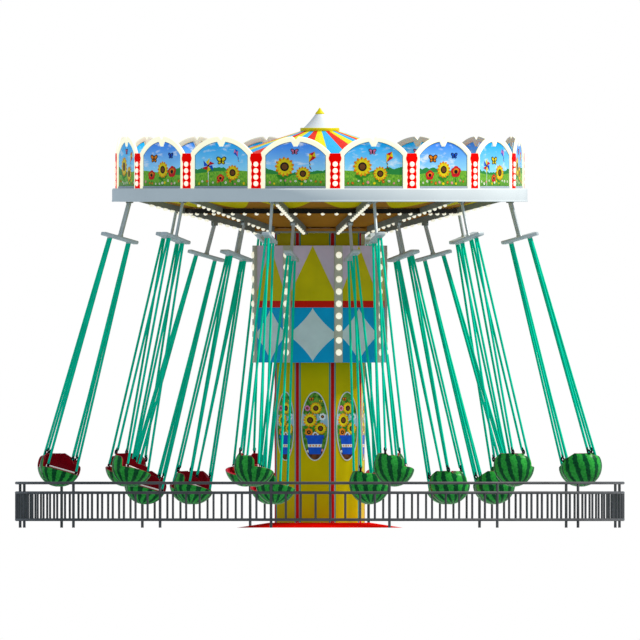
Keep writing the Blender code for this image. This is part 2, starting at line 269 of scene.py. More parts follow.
class Finish:
    # a material and the few node moves that all the paints share
    def __init__(self, name):
        self.material = bpy.data.materials.new(name)
        self.material.use_nodes = True
        self.tree = self.material.node_tree
        self.shader = self.tree.nodes["Principled BSDF"]

    def feed(self, node, feeds):
        for slot, value in feeds.items():
            value = getattr(value, "socket", value)
            if isinstance(value, bpy.types.NodeSocket):
                self.tree.links.new(value, node.inputs[slot])
            else:
                node.inputs[slot].default_value = value

    def node(self, kind, feeds=None, out=0, **options):
        node = self.tree.nodes.new("ShaderNode" + kind)
        for key, value in options.items():
            setattr(node, key, value)
        self.feed(node, feeds or {})
        return Value(self, node.outputs[out])

    def calc(self, operation, *values):
        return self.node("Math", dict(enumerate(values)), operation=operation)

    def mix(self, share, first, second):
        first, second = (rgb(*c) if isinstance(c, tuple) else c for c in (first, second))
        return self.node("Mix", {0: share, 6: first, 7: second}, out=2, data_type="RGBA")

    def between(self, value, low, high):
        # 1 where low < value < high, else 0
        return (value > low) * (value < high)

    def bearing(self, x, y):
        return self.calc("ARCTAN2", x, y * -1.0)

    def reach(self, x, y):
        return self.calc("SQRT", x * x + y * y)

    def ramp(self, value, low, high, start=0.0, end=1.0):
        return self.node("MapRange", {0: value, 1: low, 2: high, 3: start, 4: end})

    def spot(self, source="object"):
        if source == "object":
            return self.node("TexCoord", out=3)
        return self.node("Attribute", out=1, attribute_name=source)

    def split(self, vector):
        node = self.tree.nodes.new("ShaderNodeSeparateXYZ")
        self.feed(node, {0: vector})
        return [Value(self, node.outputs[k]) for k in range(3)]

    def stretch(self, vector, *scale):
        return self.node("Mapping", {"Vector": vector, "Scale": scale})

    def cloud(self, vector, scale, detail=3.0, roughness=0.55):
        feeds = {"Vector": vector, "Scale": scale, "Detail": detail, "Roughness": roughness}
        return self.node("TexNoise", feeds)

    # colour a little uneven, gloss a little uneven, and a fine skin of orange peel; selfLight gives the
    # colour off as painted glow, and glow gives off light: a lamp's on the bulbs, painted glow elsewhere
    def coat(self, colour, source="object", mottle=0.12, patch=1.6, gloss=(0.32, 0.46), peel=90.0,
             depth=0.0012, metal=0.0, mirror=0.1, bend=1.5, glow=None, glowPower=0.0, selfLight=0.0):
        where = self.spot(source)
        broad = self.cloud(where, patch)
        shade = self.ramp(broad, 0.3, 0.7, 1.0 - mottle, 1.0 + mottle * 0.4)
        even = self.node("HueSaturation", {"Value": shade, "Color": colour})
        self.feed(self.shader, {"Base Color": even})
        rough = self.ramp(self.cloud(where, patch * 5), 0.3, 0.7, gloss[0], gloss[1])
        grain = self.cloud(where, peel, 2.0)
        bump = self.node("Bump", {"Strength": 0.25, "Distance": depth, "Height": grain})
        self.feed(self.shader, {"Roughness": rough, "Normal": bump, "Metallic": metal,
                                "Specular IOR Level": mirror, "IOR": bend})
        # painted glow: the surface gives off its own colour as light
        if selfLight:
            self.feed(self.shader, {"Emission Color": even, "Emission Strength": selfLight})
        if glow:
            self.feed(self.shader, {"Emission Color": (*glow, 1.0), "Emission Strength": glowPower})
        return self.material


def rgb(red, green, blue):
    return (red, green, blue, 1.0)


# one even colour, varied by the coat
def plainCoat(name, colour, **settings):
    return Finish(name).coat(rgb(*colour), **settings)


def partCoat(name, colour, mottle, patch, gloss, **settings):
    return plainCoat(name, colour, source="partPlace", mottle=mottle, patch=patch, gloss=gloss, **settings)


def recoat(node, finish):
    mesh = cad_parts[node].data
    mesh.materials.clear()
    mesh.materials.append(finish)


# Fixed parts: column, drum and fence

# Column and drum share an eight-sided plan with a corner at this bearing.
octagon = Plan({"corner": 16.0, "columnRadius": 0.94, "drumRadius": 1.36})

columnPaint = Plan({
    "red": (0.72, 0.006, 0.004), "grey": (0.42, 0.44, 0.42), "teal": (0.01, 0.33, 0.36),
    "yellow": (0.76, 0.58, 0.0), "redEdge": 0.038, "greyEdge": 0.055, "tealEdge": 0.075,
})


# On an eight-sided face: t = (bearing - corner) mod 45 - 22.5; distance from the middle = apothem tan t
def faceSpread(finish, radius):
    x, y, z = finish.split(finish.spot())
    bearing = finish.bearing(x, y)
    turn = bearing - math.radians(octagon.corner)
    local = turn % math.radians(45) - math.radians(22.5)
    across = finish.calc("TANGENT", local) * (radius * math.cos(math.radians(22.5)))
    return across, z


# Stripes by the distance from the nearest corner, half a face - |across|: red, grey, then teal, on yellow
def columnFinish(name, p):
    f = Finish(name)
    half = octagon.columnRadius * math.sin(math.radians(22.5))
    across = faceSpread(f, octagon.columnRadius)[0]
    fromCorner = half - abs(across)
    colour = f.mix(fromCorner < p.tealEdge, p.yellow, p.teal)
    colour = f.mix(fromCorner < p.greyEdge, colour, p.grey)
    colour = f.mix(fromCorner < p.redEdge, colour, p.red)
    return f.coat(colour, mottle=0.10, gloss=(0.34, 0.48), bend=1.3)


drumPaint = Plan({
    "pale": (0.80, 0.62, 0.70), "yellow": (0.80, 0.63, 0.0), "red": (0.86, 0.01, 0.0),
    "blue": (0.0, 0.44, 0.78), "diamond": (0.80, 0.89, 0.84),
    "apex": 5.644, "bandTop": 4.540, "bandFoot": 4.404,
    "diamondMiddle": 3.86, "diamondHalf": 0.535, "power": 0.85,
})


# Above the band a triangle |s| < half (apex - z) / (apex - band); below it a diamond |s/a|^p + |z/b|^p < 1.
def drumFinish(name, p):
    f = Finish(name)
    half = octagon.drumRadius * math.sin(math.radians(22.5))
    across, height = faceSpread(f, octagon.drumRadius)
    size = abs(across) / half
    rise = (p.apex - height) / (p.apex - p.bandTop)
    upper = f.mix(size < rise, p.pale, p.yellow)
    away = abs(height - p.diamondMiddle)
    level = away / p.diamondHalf
    total = size ** p.power + level ** p.power
    lower = f.mix(total < 1.0, p.blue, p.diamond)
    colour = f.mix(height > p.bandTop, lower, upper)
    colour = f.mix(f.between(height, p.bandFoot, p.bandTop), colour, p.red)
    return f.coat(colour, mottle=0.12, patch=2.2, gloss=(0.26, 0.40))


recoat("column", columnFinish("columnEnamel", columnPaint))
recoat("base_plinth", plainCoat("plinthRed", (0.80, 0.003, 0.001), mottle=0.16, patch=2.5, gloss=(0.5, 0.65),
                                bend=1.03))

bulbGlass = plainCoat("bulbGlass", (0.95, 0.90, 0.74), mottle=0.04, gloss=(0.12, 0.2), depth=0.0003,
                      glow=(1.0, 0.93, 0.74), glowPower=0.62)
# painted glow: the cream lacquer of the board frames gives off light of its own, though it is no lamp
creamLacquerPaintedGlow = plainCoat("creamLacquerPaintedGlow", (0.96, 0.90, 0.66), mottle=0.06, gloss=(0.25, 0.35),
                         glow=(1.0, 0.92, 0.64), glowPower=0.60)


# A bulb's cap: a flat foot, a short collar and a dome (r cos t, h sin t); a few dozen faces.
def bulbShape(radius, height, sides=10):
    t = np.linspace(0, np.pi / 2, 4)
    dome = table(radius * np.cos(t), height * (0.2 + 0.8 * np.sin(t)))
    dome[-1, 0] = 0
    return turned(np.concatenate([[[radius, 0.0]], dome]), sides)


lightStrips = Plan({"width": 0.165, "depth": 0.10, "front": 1.385, "foot": 3.302, "top": 5.644,
                    "bulbRadius": 0.065, "bulbHeight": 0.040, "bulbs": 9, "firstBulb": 3.504,
                    "lastBulb": 5.456})


# Box posts with rounded edges on the drum's eight corners, each with a row of bulbs on its front.
def drumStrips(p):
    corners = evenly(octagon.corner, 8)
    postFinish = plainCoat("stripLacquer", (0.66, 0.62, 0.46), mottle=0.08, gloss=(0.3, 0.42))
    post = softBox((p.width, p.depth, p.top - p.foot), power=10, rounding=0.004)
    post["points"] = post["points"][:, [0, 2, 1]] * (1, 1, -1)  # the long axis goes up, the depth outwards
    row = ringOf(post, p.front - p.depth / 2, corners, (p.top + p.foot) / 2)
    makePiece("drum_light_strips", [row], [postFinish], "base")
    heights = np.linspace(p.firstBulb, p.lastBulb, p.bulbs)
    bearings = np.repeat(corners, p.bulbs)
    bulb = bulbShape(p.bulbRadius, p.bulbHeight, sides=12)
    bulbs = ringOf(bulb, p.front - 0.002, bearings, np.tile(heights, 8))
    makePiece("drum_bulbs", [bulbs], [bulbGlass], "base")


drumStrips(lightStrips)

drumCasing = Plan({"inner": 0.951, "foot": 3.302, "top": 5.644, "edge": 0.006})


# Eight-sided ring with bevelled edges: the profile (r, z) carried along the octagon's corners.
def drumShell(p):
    outer, edge = octagon.drumRadius, p.edge
    profile = np.array([(p.inner, p.foot), (outer - edge, p.foot), (outer, p.foot + edge),
                        (outer, p.top - edge), (outer - edge, p.top), (p.inner, p.top)])
    corners = evenly(octagon.corner, 8)[:, None]
    shell = loft(ringSpot(profile[:, 0], corners, profile[:, 1]), wrapRows=True)
    makePiece("drum_casing", [shell], [drumFinish("drumEnamel", drumPaint)], "base",
              standsFor=["drum_housing"])


drumShell(drumCasing)
print("drum dressed")

fencePlan = Plan({"radius": 6.072, "rails": (0.894, 0.70, 0.16), "railHalf": (0.026, 0.0285),
                  "postRadius": 0.028, "barRadius": 0.0235, "bays": 16, "firstPost": 13.26, "bars": 7,
                  "postTop": 0.906})


# Rails are rings of an oval section (R + a cos t, z + b sin t); posts and bars are turned rods, and the
# bars stand at equal parts of a bay.
def ringFence(p):
    paint = plainCoat("fenceEnamel", (0.112, 0.108, 0.108), mottle=0.25, patch=3.0, gloss=(0.35, 0.55),
                      metal=0.2)
    bearings = np.linspace(0, 360, 256, endpoint=False)[:, None]
    t = np.arange(12) * np.pi / 6
    wide, tall = p.railHalf
    skins = [loft(ringSpot(p.radius + wide * np.cos(t), bearings, z + tall * np.sin(t)), wrapRows=True)
             for z in p.rails]
    r, top = p.postRadius, p.postTop
    post = turned([(0, 0), (r, 0), (r, top - 0.012), (0.8 * r, top - 0.003), (0, top)], 12)
    posts = evenly(p.firstPost, p.bays)
    low, high = p.rails[2], p.rails[1]
    bar = turned([(0, low), (p.barRadius, low), (p.barRadius, high), (0, high)], 8)
    share = np.arange(1, p.bars + 1) / (p.bars + 1)
    bars = (posts[:, None] + share * 360.0 / p.bays).ravel()
    for rod, bearings in ((post, posts), (bar, bars)):
        upright = ringFrames(bearings)[:, [0, 2, 1]] * np.array([1, -1, 1])[:, None]
        skins.append(stamped(rod, ringSpot(p.radius, bearings, 0.0), upright))
    makePiece("ring_fence", skins, [paint], "base", ["fence_%d" % k for k in (1, 2, 3, 4)])


ringFence(fencePlan)
print("fence built")


# Turning head: arms, ceiling and crown

headPlan = Plan({"arms": 12, "firstArm": 16.0, "slope": 0.257, "armFoot": 5.8955, "armStart": 1.30,
                 "armHalf": 0.055, "hoopInner": 2.81, "hoopOuter": 2.87, "hoopFoot": 6.284, "hoopCorner": 3.9,
                 "hubRadius": 1.36, "skirtFoot": 5.93})


def armUnderside(radius):
    return headPlan.armFoot + (radius - headPlan.armStart) * headPlan.slope


ceilingPaint = Plan({"brown": (0.50, 0.20, 0.02), "yellow": (0.86, 0.66, 0.004), "valley": 2.80, "peak": 3.50,
                     "firstPeak": -0.9, "hills": 16})


# Black on the hoop, brown round the hub's upper rim and olive grey on the arms: an arm is where
# r |sin(bearing from it)| < its half width
def sweepFinish(name, p):
    f = Finish(name)
    x, y, z = f.split(f.spot())
    bearing = f.bearing(x, y)
    step = 2 * math.pi / p.arms
    turn = bearing - math.radians(p.firstArm) + step / 2
    local = turn % step - step / 2
    reach = f.reach(x, y)
    away = reach * abs(f.calc("SINE", local))
    hoop = f.between(reach, p.hoopInner - 0.06, p.hoopOuter + 0.01) * (away > p.armHalf + 0.002)
    colour = f.mix(hoop, (0.29, 0.295, 0.24), (0.012, 0.010, 0.006))
    skirt = (reach < p.hubRadius + 0.004) * (z > p.skirtFoot)
    colour = f.mix(skirt, colour, ceilingPaint.brown)
    return f.coat(colour, mottle=0.18, patch=3.0, gloss=(0.4, 0.55))


# Brown inside r = valley + (peak - valley) (1 - |sin(8 (bearing - first))|), yellow outside it.
def ceilingFinish(name, p):
    f = Finish(name)
    x, y = f.split(f.spot())[:2]
    bearing = f.bearing(x, y)
    reach = f.reach(x, y)
    phase = (bearing - math.radians(p.firstPeak)) * (p.hills / 2)
    wave = 1.0 - abs(f.calc("SINE", phase))
    edge = wave * (p.peak - p.valley) + p.valley
    colour = f.mix(reach < edge, p.yellow, p.brown)
    return f.coat(colour, mottle=0.15, patch=1.2, gloss=(0.5, 0.65), bend=1.2)


recoat("sweep_frame", sweepFinish("sweepPaint", headPlan))
recoat("ceiling", ceilingFinish("ceilingPaint", ceilingPaint))

runLights = Plan({"armBulbs": 16, "armFirst": 1.34, "armLast": 3.48, "armBulbRadius": 0.039,
                  "armBulbHeight": 0.046, "hoopBulbs": 64, "hoopFirst": 1.2, "hoopBulbRadius": 0.042,
                  "hoopBulbHalf": 0.032, "hoopBulbDrop": 0.008, "innerPin": 2.18, "pinRoom": 0.085})


# Domed bulbs in rows under the arms, square to the arm's slope, and globes (a sin t, -b cos t) along the
# sixteen-sided hoop's foot, whose middle line lies at r = R cos 11.25 / cos(angle from the side's middle).
def runningBulbs(p):
    arms = evenly(headPlan.firstArm, headPlan.arms)
    radii = np.linspace(p.armFirst, p.armLast, p.armBulbs)
    radii = radii[np.abs(radii - p.innerPin) > p.pinRoom]
    bearings = np.repeat(arms, len(radii))
    reach = np.tile(radii, len(arms))
    side, over, out = np.moveaxis(ringFrames(bearings), 1, 0)
    tilt = math.atan(headPlan.slope)
    down = out * math.sin(tilt) - over * math.cos(tilt)
    spots = ringSpot(reach, bearings, armUnderside(reach) + 0.001)
    frames = np.stack([side, np.cross(down, side), down], 1)
    armRow = stamped(bulbShape(p.armBulbRadius, p.armBulbHeight), spots, frames)
    bearings = evenly(p.hoopFirst, p.hoopBulbs)
    away = np.abs((bearings - headPlan.firstArm + 15.0) % 30.0 - 15.0)
    bearings = bearings[away > 1.3]
    side, over, out = np.moveaxis(ringFrames(bearings), 1, 0)
    local = np.radians((bearings - headPlan.hoopCorner) % 22.5 - 11.25)
    half = (headPlan.hoopInner + headPlan.hoopOuter) / 2
    middle = half * math.cos(math.radians(11.25)) / np.cos(local)
    spots = ringSpot(middle, bearings, headPlan.hoopFoot - p.hoopBulbDrop)
    t = np.linspace(0, np.pi, 7)
    globe = table(p.hoopBulbRadius * np.sin(t), -p.hoopBulbHalf * np.cos(t))
    globe[[0, -1], 0] = 0
    hoopBulb = turned(globe, 12)
    hoopRow = stamped(hoopBulb, spots, np.stack([side, -out, -over], 1))
    makePiece("sweep_bulbs", [armRow, hoopRow], [bulbGlass], "rotor")


runningBulbs(runLights)

hubSeal = Plan({"inner": 1.27, "outer": 1.344, "foot": 5.9845, "top": 5.9925})


# Ring between the hub's top and the ceiling: a rectangle (r, z) turned about the axis.
def sealRing(p):
    ring = turned([(p.inner, p.foot), (p.outer, p.foot), (p.outer, p.top), (p.inner, p.top)], 48, closed=True)
    paint = plainCoat("sealBrown", (0.30, 0.12, 0.014), mottle=0.2, patch=3.0, gloss=(0.5, 0.65))
    makePiece("hub_seal", [ring], [paint], "rotor")


sealRing(hubSeal)

crownPlan = Plan({
    "rimRadius": 4.154, "rimFoot": 6.518, "rimTop": 6.764, "rimWall": 0.03, "ledgeInner": 3.78,
    "ledge": 0.022, "boards": 16, "firstPillar": 4.3, "boardDistance": 3.994,
    "archCentre": 6.921, "innerArc": 0.803, "outerArc": 0.907, "innerHalf": 0.609, "outerHalf": 0.700,
    "frameFoot": 6.766, "frameDepth": 0.066, "tabHalf": 0.09, "tabTip": 0.04, "tabDrop": 0.10,
    "printEdge": 0.014, "notchHalf": 0.0575, "notchDrop": 0.07, "sillTop": 6.832, "pictureFoot": 6.79,
    "pillarDistance": 4.031, "pillarDepth": 0.09, "pillarHalf": 0.103, "headHalf": 0.128, "pillarTop": 7.487,
    "headHeight": 7.394, "neckHeight": 7.285, "bulbRadius": 0.054, "bulbHeight": 0.036,
    "firstBulb": 6.882, "lastBulb": 7.270, "pillarBulbs": 4, "pillarFront": 0.062, "scallop": 0.012,
    "meadowFoot": 6.83, "stalkFoot": 6.84,
})


# The rim is a closed profile (r, z) turned about the axis, with a rolled lower lip and a flat ledge inside
# its top; the small steps round its edges.
def rimBand(p):
    outer, inner = p.rimRadius, p.rimRadius - p.rimWall
    low, top, ledgeTop = p.rimFoot, p.rimTop, p.rimTop + p.ledge
    profile = np.array([(inner, low), (outer + 0.004, low), (outer + 0.008, low + 0.008),
                        (outer + 0.006, low + 0.026), (outer, low + 0.032), (outer, top - 0.006),
                        (outer - 0.003, top), (outer - 0.018, ledgeTop - 0.003), (outer - 0.022, ledgeTop),
                        (p.ledgeInner, ledgeTop), (p.ledgeInner, top), (inner, top)])
    bearings = np.linspace(0, 360, 192, endpoint=False)
    rings = ringSpot(profile[:, 0], bearings[:, None], profile[:, 1])
    paint = plainCoat("rimWhite", (0.82, 0.85, 0.83), mottle=0.05, patch=1.0, gloss=(0.25, 0.4))
    makePiece("crown_rim", [loft(rings, wrapRows=True)], [paint], "rotor", ["rounding_crown"],
              sharp=30)


# Inner and outer edges of a board's frame: up the left post, over the arch (R sin ts, R cos ts), down again
def frameEdges(p):
    turnIn = math.asin(p.innerHalf / p.innerArc)
    turnOut = math.asin(p.outerHalf / p.outerArc)
    keys = [w / (p.innerArc * turnIn) for w in (p.tabHalf, p.tabTip, p.notchHalf, 0.0)]
    s = np.unique(np.concatenate([np.linspace(-1, 1, 41), keys, [-k for k in keys]]))
    xIn, xOut = p.innerArc * np.sin(turnIn * s), p.outerArc * np.sin(turnOut * s)
    tab = p.tabDrop * np.clip((p.tabHalf - np.abs(xIn)) / (p.tabHalf - p.tabTip), 0, 1)
    notch = p.notchDrop * np.clip(1 - np.abs(xOut) / p.notchHalf, 0, 1)
    zIn = p.archCentre + p.innerArc * np.cos(turnIn * s) - tab
    zOut = p.archCentre + p.outerArc * np.cos(turnOut * s) - notch
    rise = np.linspace(0, 1, 6)[:-1]
    leftIn = table(np.full(5, -p.innerHalf), p.frameFoot + (zIn[0] - p.frameFoot) * rise)
    leftOut = table(np.full(5, -p.outerHalf), p.frameFoot + (zOut[0] - p.frameFoot) * rise)
    flip = np.array([-1, 1])
    edgeIn = np.concatenate([leftIn, table(xIn, zIn), leftIn[::-1] * flip])
    edgeOut = np.concatenate([leftOut, table(xOut, zOut), leftOut[::-1] * flip])
    return edgeIn, edgeOut


# Frame moulding: inner edge + c (outer - inner) across and d outwards, (c, d) round a rounded section
def boardFrames(p):
    edgeIn, edgeOut = frameEdges(p)
    half = p.frameDepth / 2
    section = np.array([(0.0, 0.55), (0.08, 0.9), (0.25, 1.0), (0.75, 1.0), (0.92, 0.9), (1.0, 0.55),
                        (1.0, -0.55), (0.92, -0.9), (0.75, -1.0), (0.25, -1.0), (0.08, -0.9), (0.0, -0.55)])
    spread = edgeIn[:, None] + section[None, :, :1] * (edgeOut - edgeIn)[:, None]
    depth = np.broadcast_to(section[None, :, 1] * half, spread.shape[:2])
    moulding = loft(table(spread[..., 0], spread[..., 1], depth))
    # painted shade: the back half of each moulding, facing the axis, takes a darker cream without the glow, a
    # shaded copy of the same lacquer
    behind = np.arange(len(section)) // 6 * (np.arange(len(section)) < 11)
    moulding["finish"] = np.concatenate([np.tile(behind, len(spread) - 1), behind, behind])
    shadedCream = plainCoat("frameBackPaintedShade", (0.80, 0.76, 0.64), mottle=0.08, gloss=(0.4, 0.55))
    bearings = p.firstPillar + 360.0 / p.boards * (np.arange(p.boards) + 0.5)
    makePiece("board_frames", [ringOf(moulding, p.boardDistance, bearings)], [creamLacquerPaintedGlow, shadedCream], "rotor",
              sharp=50)
    foot = p.rimTop + p.ledge - 0.01
    sill = softBox((2 * p.innerHalf + 0.02, p.sillTop - foot, p.frameDepth * 0.8))
    level = (p.sillTop + foot) / 2
    sillPaint = plainCoat("sillGrey", (0.46, 0.51, 0.56), mottle=0.08, gloss=(0.22, 0.36))
    makePiece("board_sills", [ringOf(sill, p.boardDistance, bearings, level)], [sillPaint], "rotor")
    return bearings


# Pillar: its outline (x, z) drawn in a little towards the middle at the front and back, to round its edges;
# its sides are scalloped, half width = body - scallop (1 + cos(2 pi (z - bulb) / step)) / 2
def pillars(p):
    foot, top = p.rimTop - 0.002, p.pillarTop
    body, head, neck, bulge = p.pillarHalf, p.headHalf, p.neckHeight, p.headHeight
    step = (p.lastBulb - p.firstBulb) / (p.pillarBulbs - 1)
    level = np.linspace(p.firstBulb - step / 2, p.lastBulb + step * 0.4, 32)
    dip = p.scallop * (1 + np.cos(2 * np.pi * (level - p.firstBulb) / step)) / 2
    post = table(body - dip, level)
    crest = [(head - 0.010, neck + 0.055), (head, bulge - 0.02), (head, bulge + 0.01),
             (head - 0.012, bulge + 0.04), (body + 0.006, top - 0.012), (body - 0.004, top)]
    right = np.concatenate([[(body, foot)], post, crest])
    outline = np.concatenate([right, right[::-1] * (-1, 1)])
    middle = np.array([0.0, (foot + top) / 2])
    shrink = np.array([0.92, 0.985, 1.0, 1.0, 0.985, 0.92])[:, None, None]
    half, front = p.pillarDepth / 2, p.pillarFront
    depths = np.array([-half, -half + 0.002, -half + 0.008, front - 0.008, front - 0.002, front])
    flat = middle + (outline - middle) * np.concatenate([shrink, shrink * 0 + 1 - (1 - shrink) * 0.3], -1)
    rings = np.concatenate([flat, np.broadcast_to(depths[:, None, None], (*flat.shape[:2], 1))], -1)
    bearings = evenly(p.firstPillar, p.boards)
    # painted glow: the red pillars give off red light of their own, though they are no lamps
    paint = plainCoat("pillarRedPaintedGlow", (0.84, 0.002, 0.001), mottle=0.08, gloss=(0.3, 0.45), bend=1.15,
                      glow=(1.0, 0.001, 0.0), glowPower=0.36)
    makePiece("crown_pillars", [ringOf(loft(rings), p.pillarDistance, bearings)], [paint], "rotor")
    heights = np.linspace(p.firstBulb, p.lastBulb, p.pillarBulbs)
    bulb = bulbShape(p.bulbRadius, p.bulbHeight)
    rows = []
    turns = np.repeat(bearings, p.pillarBulbs)
    side, over, out = np.moveaxis(ringFrames(turns), 1, 0)
    levels = np.tile(heights, len(bearings))
    core = ringSpot(p.pillarDistance, turns, levels)
    waist = body - p.scallop
    for away, reach in ((out, front), (side, waist), (-side, waist)):
        turn = np.stack([np.cross(over, away), over, away], 1)
        rows.append(stamped(bulb, core + away * (reach - 0.001), turn))
    makePiece("pillar_bulbs", rows, [bulbGlass], "rotor")


rimBand(crownPlan)
boardBearings = boardFrames(crownPlan)
pillars(crownPlan)
print("crown rim, frames and pillars built")


# Painted pictures on the boards and the column

# Sky that pales towards the horizon, soft clouds, far woods, a meadow, a painted shadow round the edge inside
# the frame and a painted glow; the place's third number is the board
def meadowFinish(name, p):
    f = Finish(name)
    place = f.spot("partPlace")
    x, z, board = f.split(place)
    height = z - p.meadowFoot
    phase = board * 2.4
    zenith = f.mix(board % 2.0, (0.0, 0.44, 0.95), (0.05, 0.27, 0.92))
    sky = f.mix(f.ramp(height, 0.2, 0.85), (0.36, 0.80, 0.98), zenith)
    drift = f.stretch(place, 2.2, 5.0, 1.0)
    puffs = f.ramp(f.cloud(drift, 1.6, 5.0, 0.6), 0.54, 0.68)
    sky = f.mix(puffs * 0.75, sky, (0.9, 0.93, 0.95))
    shrubs = f.stretch(place, 4.0, 1.0, 1.0)
    bush = f.cloud(shrubs, 2.0, 3.0) * 0.16
    roll = f.calc("SINE", f.calc("MULTIPLY_ADD", x, 3.1, phase))
    woodsTop = bush + 0.24 + roll * 0.05
    colour = f.mix(height < woodsTop, sky, (0.03, 0.26, 0.05))
    swell = f.calc("SINE", f.calc("MULTIPLY_ADD", x, -2.3, phase))
    hillTop = f.calc("MULTIPLY_ADD", swell, 0.045, 0.27)
    blades = f.cloud(f.stretch(place, 26.0, 9.0, 1.0), 2.0, 4.0)
    grass = f.mix(f.ramp(blades, 0.35, 0.68), (0.06, 0.30, 0.02), (0.30, 0.60, 0.05))
    colour = f.mix(height < hillTop, colour, grass)
    shade = f.ramp(height, 0.0, 0.14, 0.6, 0.0)
    colour = f.mix(shade, colour, (0.02, 0.14, 0.02))
    # painted shadow: a dark band along the posts and under the arch, where the frame's recess shades the
    # picture
    rise = z - p.archCentre
    reach = f.reach(x, rise)
    fromPost = p.innerHalf - abs(x)
    fromArch = p.innerArc - reach * (rise > 0.0)
    border = f.calc("MINIMUM", fromPost, fromArch) < p.printEdge
    colour = f.mix(border * 0.75, colour, (0.02, 0.07, 0.09))
    # painted glow: the picture gives off a little of its own colour as light
    return f.coat(colour, source="partPlace", mottle=0.06, patch=5.0, gloss=(0.28, 0.4), selfLight=0.20)


inkColours = {"sunInk": (0.98, 0.74, 0.01), "orangeInk": (0.93, 0.26, 0.01), "darkInk": (0.014, 0.010, 0.008),
              "redInk": (0.74, 0.012, 0.02), "whiteInk": (0.90, 0.90, 0.86), "leafInk": (0.04, 0.30, 0.02),
              "blueInk": (0.01, 0.10, 0.62), "pinkInk": (0.86, 0.22, 0.42), "earthInk": (0.20, 0.07, 0.015)}
inkNames = list(inkColours)
# painted glow: every ink gives off a little of its own colour as light
inksPaintedGlow = [plainCoat(name, colour, mottle=0.22, patch=14.0, gloss=(0.28, 0.42), depth=0.0004, selfLight=0.08)
        for name, colour in inkColours.items()]


# Painted outlines, a closed list of points for each patch of ink: r(t) = size (1 - d + d |cos(n t / 2)|^0.7)
def roundPatch(x, z, size, squeeze=1.0, turn=0.0, petals=0, depth=0.0, count=20):
    t = circle(count)
    r = size * (1 - depth + depth * np.abs(np.cos(petals * t / 2)) ** 0.7)
    along, over = r * np.cos(t), r * np.sin(t) * squeeze
    c, s = math.cos(turn), math.sin(turn)
    return table(x + along * c - over * s, z + along * s + over * c)


# straight edges from corner to corner
def cornerPatch(*corners):
    return np.array(corners, float)


# a wavy ribbon: middle line x(s) = x + sway sin(w s), with a constant width
def ribbonPatch(x, z, length, width, sway, lean=0.0):
    s = np.linspace(0, 1, 9)
    middle = x + sway * np.sin(7 * s) + lean * s
    return np.concatenate([table(middle - width / 2, z - length * s),
                           table(middle + width / 2, z - length * s)[::-1]])


# discs of ink on one middle: each is (ink, share of the size, then what roundPatch takes)
def bloom(x, z, size, layer, *discs):
    return [(ink, roundPatch(x, z, size * share, *shape), layer + k)
            for k, (ink, share, *shape) in enumerate(discs)]


# a stem, two oval leaves and four discs: two of 13 petals, and the dark and brown of the middle
def sunflower(x, z, size, foot):
    patches = [("leafInk", ribbonPatch(x, z, z - foot, size * 0.13, size * 0.06), 0)]
    for side in (-1, 1):
        leaf = roundPatch(x + side * size * 0.42, (z + foot) / 2 + side * size * 0.1, size * 0.42, 0.42,
                          side * 0.5, count=12)
        patches.append(("leafInk", leaf, 1))
    return patches + bloom(x, z, size, 2, ("orangeInk", 1.0, 1.0, 0.2, 13, 0.34, 52),
                           ("sunInk", 0.88, 1.0, 0.0, 13, 0.30, 52), ("darkInk", 0.45, 1.0, 0.0, 0, 0.0, 18),
                           ("earthInk", 0.30, 1.0, 0.0, 0, 0.0, 14))


# a stem and a red disc of five broad petals, with an orange glow and a dark heart
def poppy(x, z, size, foot):
    return [("leafInk", ribbonPatch(x, z, z - foot, size * 0.12, size * 0.10), 0),
            ("redInk", roundPatch(x, z, size, 0.88, 0.3, 5, 0.16, 30), 2),
            ("orangeInk", roundPatch(x, z + size * 0.1, size * 0.62, 0.7, 0.3, 5, 0.14, 25), 3),
            ("darkInk", roundPatch(x, z, size * 0.34, 0.9, count=14), 4)]


# a disc of nine petals, a little flat, with a yellow eye
def daisy(x, z, size, ink="whiteInk"):
    return bloom(x, z, size, 2, (ink, 1.0, 0.85, 0.1 + x * 9, 9, 0.36, 27),
                 ("sunInk", 0.36, 1.0, 0.0, 0, 0.0, 10))


# four triangles round one point, (u, v) turned by an angle, and a tail with two bows
def kite(x, z, size, turn, inkA, inkB):
    c, s = math.cos(turn), math.sin(turn)
    at = lambda u, v: (x + size * (u * c - v * s), z + size * (u * s + v * c))
    top, right, foot, left, middle = at(0, 0.9), at(0.62, 0.15), at(0, -1.0), at(-0.62, 0.15), at(0, 0.15)
    tail = at(0, -0.95)
    return [("darkInk", ribbonPatch(tail[0], tail[1], size * 1.2, size * 0.05, size * 0.12, size * 0.3), 0),
            (inkA, cornerPatch(top, left, middle), 2), (inkB, cornerPatch(top, middle, right), 2),
            (inkB, cornerPatch(left, foot, middle), 2), (inkA, cornerPatch(middle, foot, right), 2),
            (inkB, roundPatch(tail[0] + size * 0.16, tail[1] - size * 0.45, size * 0.13, 0.5, 0.4, 8), 1),
            (inkA, roundPatch(tail[0] + size * 0.2, tail[1] - size * 0.85, size * 0.12, 0.5, -0.4, 8), 1)]


# on each side two dark ovals, each with a smaller coloured one on it, and a long oval for the body
def butterfly(x, z, size, ink):
    patches = []
    for side in (-1, 1):
        for shade, out, up, wide, squeeze, layer in (
                ("darkInk", 0.50, 0.28, 0.58, 0.72, 2), ("darkInk", 0.38, -0.34, 0.40, 0.78, 2),
                (ink, 0.48, 0.27, 0.40, 0.66, 3), (ink, 0.36, -0.33, 0.25, 0.74, 3)):
            wing = roundPatch(x + side * size * out, z + size * up, size * wide, squeeze,
                              side * math.copysign(0.6, up), count=14)
            patches.append((shade, wing, layer))
    return patches + [("darkInk", roundPatch(x, z, size * 0.55, 0.16, math.pi / 2, count=12), 4)]


